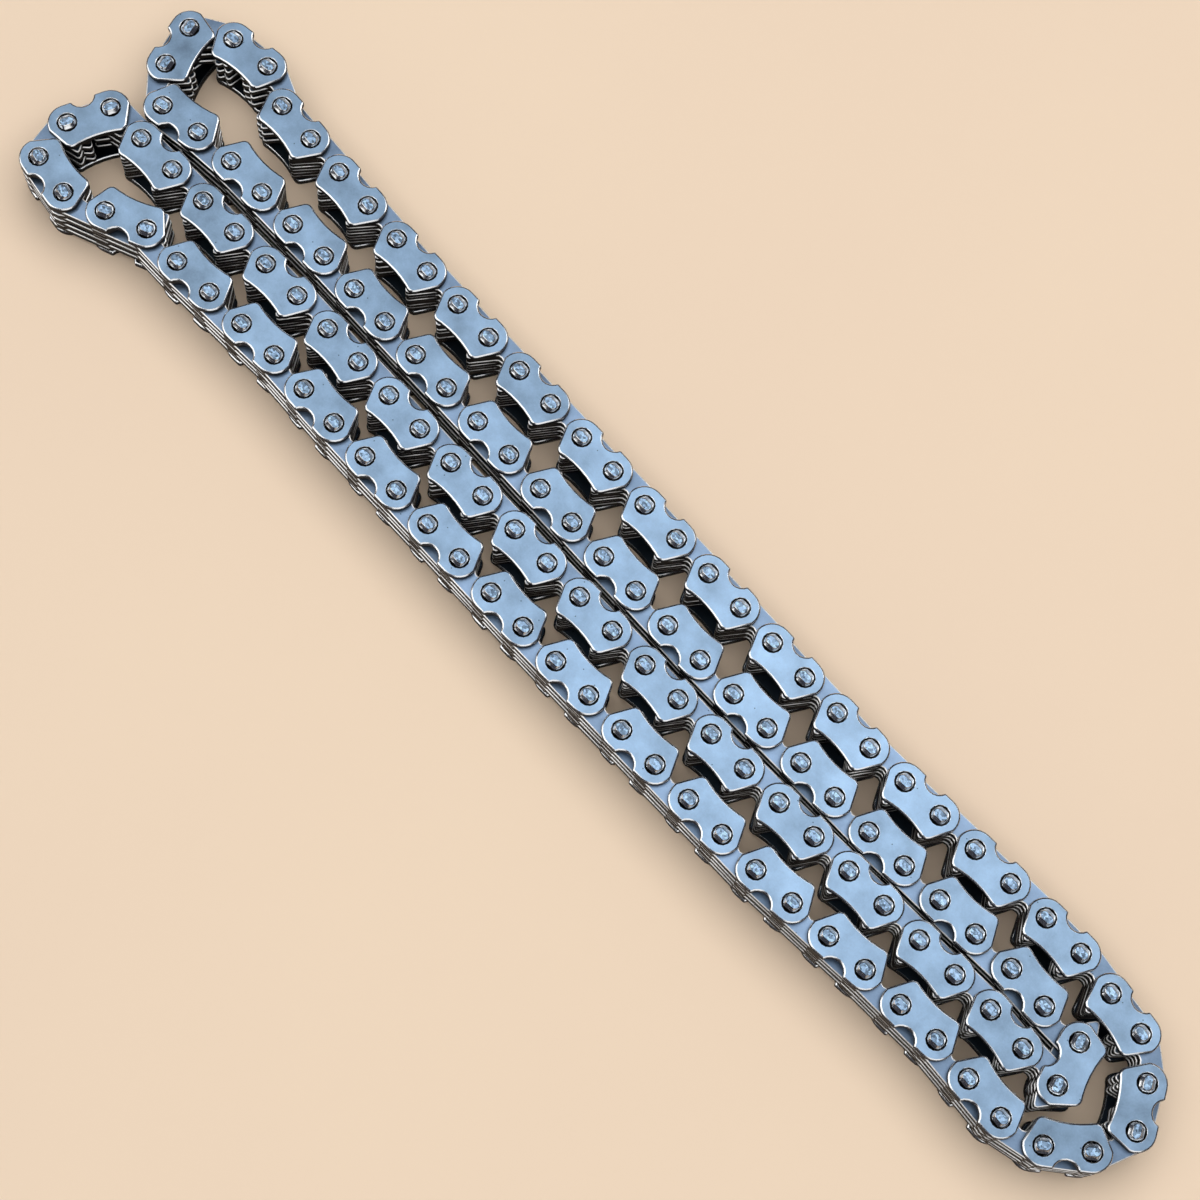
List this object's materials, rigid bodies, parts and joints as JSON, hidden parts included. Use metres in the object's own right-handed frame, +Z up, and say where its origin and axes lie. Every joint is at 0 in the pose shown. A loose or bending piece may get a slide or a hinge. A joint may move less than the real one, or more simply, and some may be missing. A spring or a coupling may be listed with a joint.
{
  "type": "timing chain",
  "caption": "Endless inverted-tooth timing chain laid flat in four folded strands, with notched guide plates, laced toothed plates and riveted pins.",
  "frame": {"origin": "centre of the folded chain's plan, on the surface it lies on", "axes": "+X along the four strands from the two loops to the outer bend, +Y from strand A to strand D, +Z up along the pins"},
  "size_m": [0.203, 0.0388, 0.0093],
  "materials": {
    "chain_steel": "tumbled satin, blue-grey",
    "plate_steel": "tumbled satin, blue-grey, darker on the sides",
    "pin_steel": "satin, brighter at the riveted end"
  },
  "bodies": {
    "resting_strands": {"strand_b_run_1": "chain_steel", "strand_b_run_2": "chain_steel", "strand_b_run_3": "chain_steel", "inner_bend_run": "chain_steel", "strand_c_run_1": "chain_steel", "strand_c_run_2": "chain_steel", "strand_c_run_3": "chain_steel", "strand_c_run_4": "chain_steel"},
    "loop_ab_link_1": {"loop_ab_guide_link_1": "chain_steel"},
    "loop_ab_link_2": {"loop_ab_front_inner_plate_1": "plate_steel", "loop_ab_front_inner_plate_2": "plate_steel", "loop_ab_front_inner_plate_3": "plate_steel", "loop_ab_front_inner_plate_4": "plate_steel"},
    "loop_ab_link_3": {"loop_ab_guide_plate_bottom": "plate_steel", "loop_ab_guide_plate_top": "plate_steel", "loop_ab_mid_plate_1": "plate_steel", "loop_ab_mid_plate_2": "plate_steel", "loop_ab_mid_plate_3": "plate_steel", "loop_ab_pin_1": "pin_steel", "loop_ab_pin_2": "pin_steel"},
    "loop_ab_link_4": {"loop_ab_rear_inner_plate_1": "plate_steel", "loop_ab_rear_inner_plate_2": "plate_steel", "loop_ab_rear_inner_plate_3": "plate_steel", "loop_ab_rear_inner_plate_4": "plate_steel"},
    "strand_a_pair_01": {"strand_a_pair_01_links": "chain_steel"},
    "strand_a_pair_02": {"strand_a_pair_02_links": "chain_steel"},
    "strand_a_pair_03": {"strand_a_pair_03_links": "chain_steel"},
    "strand_a_pair_04": {"strand_a_pair_04_links": "chain_steel"},
    "strand_a_pair_05": {"strand_a_pair_05_links": "chain_steel"},
    "strand_a_pair_06": {"strand_a_pair_06_links": "chain_steel"},
    "strand_a_pair_07": {"strand_a_pair_07_links": "chain_steel"},
    "strand_a_pair_08": {"strand_a_pair_08_links": "chain_steel"},
    "strand_a_pair_09": {"strand_a_pair_09_links": "chain_steel"},
    "strand_a_pair_10": {"strand_a_pair_10_links": "chain_steel"},
    "strand_a_pair_11": {"strand_a_pair_11_links": "chain_steel"},
    "strand_a_pair_12": {"strand_a_pair_12_links": "chain_steel"},
    "strand_a_pair_13": {"strand_a_pair_13_links": "chain_steel"},
    "strand_a_pair_14": {"strand_a_pair_14_links": "chain_steel"},
    "strand_a_end": {"strand_a_end_guide_link": "chain_steel"},
    "loop_cd_link_1": {"loop_cd_inner_pack_1": "plate_steel"},
    "loop_cd_link_2": {"loop_cd_guide_link_2": "chain_steel"},
    "loop_cd_link_3": {"loop_cd_inner_pack_3": "plate_steel"},
    "loop_cd_link_4": {"loop_cd_guide_link_4": "chain_steel"},
    "loop_cd_link_5": {"loop_cd_inner_pack_5": "plate_steel"},
    "strand_d_pair_01": {"strand_d_pair_01_links": "chain_steel"},
    "strand_d_pair_02": {"strand_d_pair_02_links": "chain_steel"},
    "strand_d_pair_03": {"strand_d_pair_03_links": "chain_steel"},
    "strand_d_pair_04": {"strand_d_pair_04_links": "chain_steel"},
    "strand_d_pair_05": {"strand_d_pair_05_links": "chain_steel"},
    "strand_d_pair_06": {"strand_d_pair_06_links": "chain_steel"},
    "strand_d_pair_07": {"strand_d_pair_07_links": "chain_steel"},
    "strand_d_pair_08": {"strand_d_pair_08_links": "chain_steel"},
    "strand_d_pair_09": {"strand_d_pair_09_links": "chain_steel"},
    "strand_d_pair_10": {"strand_d_pair_10_links": "chain_steel"},
    "strand_d_pair_11": {"strand_d_pair_11_links": "chain_steel"},
    "strand_d_pair_12": {"strand_d_pair_12_links": "chain_steel"},
    "strand_d_pair_13": {"strand_d_pair_13_links": "chain_steel"},
    "strand_d_pair_14": {"strand_d_pair_14_links": "chain_steel"},
    "outer_bend_link_1": {"outer_bend_guide_link": "chain_steel"},
    "outer_bend_link_2": {"outer_bend_inner_pack": "plate_steel"}
  },
  "joints": [
    {"name": "loop_ab_link_1_hinge", "type": "hinge", "parent": "resting_strands", "child": "loop_ab_link_1", "pos_m": [-0.09643, -0.00361, 0.00445], "axis": [0, 0, -1], "range_deg": [0, 59.9]},
    {"name": "loop_ab_link_2_hinge", "type": "hinge", "parent": "loop_ab_link_1", "child": "loop_ab_link_2", "pos_m": [-0.09871, -0.00954, 0.00445], "axis": [0, 0, -1], "range_deg": [0, 25]},
    {"name": "loop_ab_link_3_hinge", "type": "hinge", "parent": "loop_ab_link_2", "child": "loop_ab_link_3", "pos_m": [-0.09739, -0.01575, 0.00445], "axis": [0, 0, -1], "range_deg": [0, 62]},
    {"name": "loop_ab_link_4_hinge", "type": "hinge", "parent": "loop_ab_link_3", "child": "loop_ab_link_4", "pos_m": [-0.0911, -0.01663, 0.00445], "axis": [0, 0, -1], "range_deg": [0, 22.8]},
    {"name": "strand_a_pair_01_hinge", "type": "hinge", "parent": "loop_ab_link_4", "child": "strand_a_pair_01", "pos_m": [-0.08525, -0.01417, 0.00445], "axis": [0, 0, 1], "range_deg": [-18, 0]},
    {"name": "strand_a_pair_02_hinge", "type": "hinge", "parent": "strand_a_pair_01", "child": "strand_a_pair_02", "pos_m": [-0.07304, -0.01172, 0.00445], "axis": [0, 0, 1], "range_deg": [-18, 0]},
    {"name": "strand_a_pair_03_hinge", "type": "hinge", "parent": "strand_a_pair_02", "child": "strand_a_pair_03", "pos_m": [-0.06035, -0.01116, 0.00445], "axis": [0, 0, 1], "range_deg": [-18, 0]},
    {"name": "strand_a_pair_04_hinge", "type": "hinge", "parent": "strand_a_pair_03", "child": "strand_a_pair_04", "pos_m": [-0.04766, -0.01111, 0.00445], "axis": [0, 0, 1], "range_deg": [-18, 0]},
    {"name": "strand_a_pair_05_hinge", "type": "hinge", "parent": "strand_a_pair_04", "child": "strand_a_pair_05", "pos_m": [-0.03497, -0.0114, 0.00445], "axis": [0, 0, 1], "range_deg": [-18, 0]},
    {"name": "strand_a_pair_06_hinge", "type": "hinge", "parent": "strand_a_pair_05", "child": "strand_a_pair_06", "pos_m": [-0.02227, -0.01153, 0.00445], "axis": [0, 0, 1], "range_deg": [-18, 0]},
    {"name": "strand_a_pair_07_hinge", "type": "hinge", "parent": "strand_a_pair_06", "child": "strand_a_pair_07", "pos_m": [-0.00957, -0.01166, 0.00445], "axis": [0, 0, 1], "range_deg": [-18, 0]},
    {"name": "strand_a_pair_08_hinge", "type": "hinge", "parent": "strand_a_pair_07", "child": "strand_a_pair_08", "pos_m": [0.00313, -0.01168, 0.00445], "axis": [0, 0, 1], "range_deg": [-18, 0]},
    {"name": "strand_a_pair_09_hinge", "type": "hinge", "parent": "strand_a_pair_08", "child": "strand_a_pair_09", "pos_m": [0.01583, -0.01159, 0.00445], "axis": [0, 0, 1], "range_deg": [-18, 0]},
    {"name": "strand_a_pair_10_hinge", "type": "hinge", "parent": "strand_a_pair_09", "child": "strand_a_pair_10", "pos_m": [0.02853, -0.01151, 0.00445], "axis": [0, 0, 1], "range_deg": [-18, 0]},
    {"name": "strand_a_pair_11_hinge", "type": "hinge", "parent": "strand_a_pair_10", "child": "strand_a_pair_11", "pos_m": [0.04123, -0.01142, 0.00445], "axis": [0, 0, 1], "range_deg": [-18, 0]},
    {"name": "strand_a_pair_12_hinge", "type": "hinge", "parent": "strand_a_pair_11", "child": "strand_a_pair_12", "pos_m": [0.0539, -0.01049, 0.00445], "axis": [0, 0, 1], "range_deg": [-18, 0]},
    {"name": "strand_a_pair_13_hinge", "type": "hinge", "parent": "strand_a_pair_12", "child": "strand_a_pair_13", "pos_m": [0.06658, -0.0098, 0.00445], "axis": [0, 0, 1], "range_deg": [-18, 0]},
    {"name": "strand_a_pair_14_hinge", "type": "hinge", "parent": "strand_a_pair_13", "child": "strand_a_pair_14", "pos_m": [0.07926, -0.01002, 0.00445], "axis": [0, 0, 1], "range_deg": [-18, 0]},
    {"name": "strand_a_end_hinge", "type": "hinge", "parent": "strand_a_pair_14", "child": "strand_a_end", "pos_m": [0.09176, -0.00894, 0.00445], "axis": [0, 0, -1], "range_deg": [0, 17.9]},
    {"name": "loop_cd_link_1_hinge", "type": "hinge", "parent": "resting_strands", "child": "loop_cd_link_1", "pos_m": [-0.0919, 0.00193, 0.00445], "axis": [0, 0, 1], "range_deg": [0, 45.6]},
    {"name": "loop_cd_link_2_hinge", "type": "hinge", "parent": "loop_cd_link_1", "child": "loop_cd_link_2", "pos_m": [-0.09642, 0.00639, 0.00445], "axis": [0, 0, 1], "range_deg": [0, 19.7]},
    {"name": "loop_cd_link_3_hinge", "type": "hinge", "parent": "loop_cd_link_2", "child": "loop_cd_link_3", "pos_m": [-0.09835, 0.01244, 0.00445], "axis": [0, 0, 1], "range_deg": [0, 67.5]},
    {"name": "loop_cd_link_4_hinge", "type": "hinge", "parent": "loop_cd_link_3", "child": "loop_cd_link_4", "pos_m": [-0.09298, 0.01582, 0.00445], "axis": [0, 0, 1], "range_deg": [0, 16.9]},
    {"name": "loop_cd_link_5_hinge", "type": "hinge", "parent": "loop_cd_link_4", "child": "loop_cd_link_5", "pos_m": [-0.08668, 0.01663, 0.00445], "axis": [0, 0, 1], "range_deg": [0, 21.9]},
    {"name": "strand_d_pair_01_hinge", "type": "hinge", "parent": "loop_cd_link_5", "child": "strand_d_pair_01", "pos_m": [-0.08082, 0.01419, 0.00445], "axis": [0, 0, -1], "range_deg": [-18, 0]},
    {"name": "strand_d_pair_02_hinge", "type": "hinge", "parent": "strand_d_pair_01", "child": "strand_d_pair_02", "pos_m": [-0.06814, 0.01348, 0.00445], "axis": [0, 0, -1], "range_deg": [-18, 0]},
    {"name": "strand_d_pair_03_hinge", "type": "hinge", "parent": "strand_d_pair_02", "child": "strand_d_pair_03", "pos_m": [-0.05546, 0.01277, 0.00445], "axis": [0, 0, -1], "range_deg": [-18, 0]},
    {"name": "strand_d_pair_04_hinge", "type": "hinge", "parent": "strand_d_pair_03", "child": "strand_d_pair_04", "pos_m": [-0.04276, 0.01255, 0.00445], "axis": [0, 0, -1], "range_deg": [-18, 0]},
    {"name": "strand_d_pair_05_hinge", "type": "hinge", "parent": "strand_d_pair_04", "child": "strand_d_pair_05", "pos_m": [-0.03006, 0.01233, 0.00445], "axis": [0, 0, -1], "range_deg": [-18, 0]},
    {"name": "strand_d_pair_06_hinge", "type": "hinge", "parent": "strand_d_pair_05", "child": "strand_d_pair_06", "pos_m": [-0.01736, 0.0121, 0.00445], "axis": [0, 0, -1], "range_deg": [-18, 0]},
    {"name": "strand_d_pair_07_hinge", "type": "hinge", "parent": "strand_d_pair_06", "child": "strand_d_pair_07", "pos_m": [-0.00467, 0.01188, 0.00445], "axis": [0, 0, -1], "range_deg": [-18, 0]},
    {"name": "strand_d_pair_08_hinge", "type": "hinge", "parent": "strand_d_pair_07", "child": "strand_d_pair_08", "pos_m": [0.00803, 0.01166, 0.00445], "axis": [0, 0, -1], "range_deg": [-18, 0]},
    {"name": "strand_d_pair_09_hinge", "type": "hinge", "parent": "strand_d_pair_08", "child": "strand_d_pair_09", "pos_m": [0.02073, 0.01137, 0.00445], "axis": [0, 0, -1], "range_deg": [-18, 0]},
    {"name": "strand_d_pair_10_hinge", "type": "hinge", "parent": "strand_d_pair_09", "child": "strand_d_pair_10", "pos_m": [0.03343, 0.01109, 0.00445], "axis": [0, 0, -1], "range_deg": [-18, 0]},
    {"name": "strand_d_pair_11_hinge", "type": "hinge", "parent": "strand_d_pair_10", "child": "strand_d_pair_11", "pos_m": [0.04612, 0.01119, 0.00445], "axis": [0, 0, -1], "range_deg": [-18, 0]},
    {"name": "strand_d_pair_12_hinge", "type": "hinge", "parent": "strand_d_pair_11", "child": "strand_d_pair_12", "pos_m": [0.05881, 0.01167, 0.00445], "axis": [0, 0, -1], "range_deg": [-18, 0]},
    {"name": "strand_d_pair_13_hinge", "type": "hinge", "parent": "strand_d_pair_12", "child": "strand_d_pair_13", "pos_m": [0.0715, 0.01216, 0.00445], "axis": [0, 0, -1], "range_deg": [-18, 0]},
    {"name": "strand_d_pair_14_hinge", "type": "hinge", "parent": "strand_d_pair_13", "child": "strand_d_pair_14", "pos_m": [0.08414, 0.01137, 0.00445], "axis": [0, 0, -1], "range_deg": [-18, 0]},
    {"name": "outer_bend_link_1_hinge", "type": "hinge", "parent": "strand_d_pair_14", "child": "outer_bend_link_1", "pos_m": [0.09541, 0.00657, 0.00445], "axis": [0, 0, 1], "range_deg": [0, 12.3]},
    {"name": "outer_bend_link_2_hinge", "type": "hinge", "parent": "outer_bend_link_1", "child": "outer_bend_link_2", "pos_m": [0.09868, 0.00113, 0.00445], "axis": [0, 0, 1], "range_deg": [0, 41.9]}
  ],
  "couplings": [
    {"joint": "strand_a_pair_02_hinge", "follows": "strand_a_pair_01_hinge", "ratio": 1},
    {"joint": "strand_a_pair_03_hinge", "follows": "strand_a_pair_01_hinge", "ratio": 1},
    {"joint": "strand_a_pair_04_hinge", "follows": "strand_a_pair_01_hinge", "ratio": 1},
    {"joint": "strand_a_pair_05_hinge", "follows": "strand_a_pair_01_hinge", "ratio": 1},
    {"joint": "strand_a_pair_06_hinge", "follows": "strand_a_pair_01_hinge", "ratio": 1},
    {"joint": "strand_a_pair_07_hinge", "follows": "strand_a_pair_01_hinge", "ratio": 1},
    {"joint": "strand_a_pair_08_hinge", "follows": "strand_a_pair_01_hinge", "ratio": 1},
    {"joint": "strand_a_pair_09_hinge", "follows": "strand_a_pair_01_hinge", "ratio": 1},
    {"joint": "strand_a_pair_10_hinge", "follows": "strand_a_pair_01_hinge", "ratio": 1},
    {"joint": "strand_a_pair_11_hinge", "follows": "strand_a_pair_01_hinge", "ratio": 1},
    {"joint": "strand_a_pair_12_hinge", "follows": "strand_a_pair_01_hinge", "ratio": 1},
    {"joint": "strand_a_pair_13_hinge", "follows": "strand_a_pair_01_hinge", "ratio": 1},
    {"joint": "strand_a_pair_14_hinge", "follows": "strand_a_pair_01_hinge", "ratio": 1},
    {"joint": "strand_d_pair_02_hinge", "follows": "strand_d_pair_01_hinge", "ratio": 1},
    {"joint": "strand_d_pair_03_hinge", "follows": "strand_d_pair_01_hinge", "ratio": 1},
    {"joint": "strand_d_pair_04_hinge", "follows": "strand_d_pair_01_hinge", "ratio": 1},
    {"joint": "strand_d_pair_05_hinge", "follows": "strand_d_pair_01_hinge", "ratio": 1},
    {"joint": "strand_d_pair_06_hinge", "follows": "strand_d_pair_01_hinge", "ratio": 1},
    {"joint": "strand_d_pair_07_hinge", "follows": "strand_d_pair_01_hinge", "ratio": 1},
    {"joint": "strand_d_pair_08_hinge", "follows": "strand_d_pair_01_hinge", "ratio": 1},
    {"joint": "strand_d_pair_09_hinge", "follows": "strand_d_pair_01_hinge", "ratio": 1},
    {"joint": "strand_d_pair_10_hinge", "follows": "strand_d_pair_01_hinge", "ratio": 1},
    {"joint": "strand_d_pair_11_hinge", "follows": "strand_d_pair_01_hinge", "ratio": 1},
    {"joint": "strand_d_pair_12_hinge", "follows": "strand_d_pair_01_hinge", "ratio": 1},
    {"joint": "strand_d_pair_13_hinge", "follows": "strand_d_pair_01_hinge", "ratio": 1},
    {"joint": "strand_d_pair_14_hinge", "follows": "strand_d_pair_01_hinge", "ratio": 1}
  ]
}
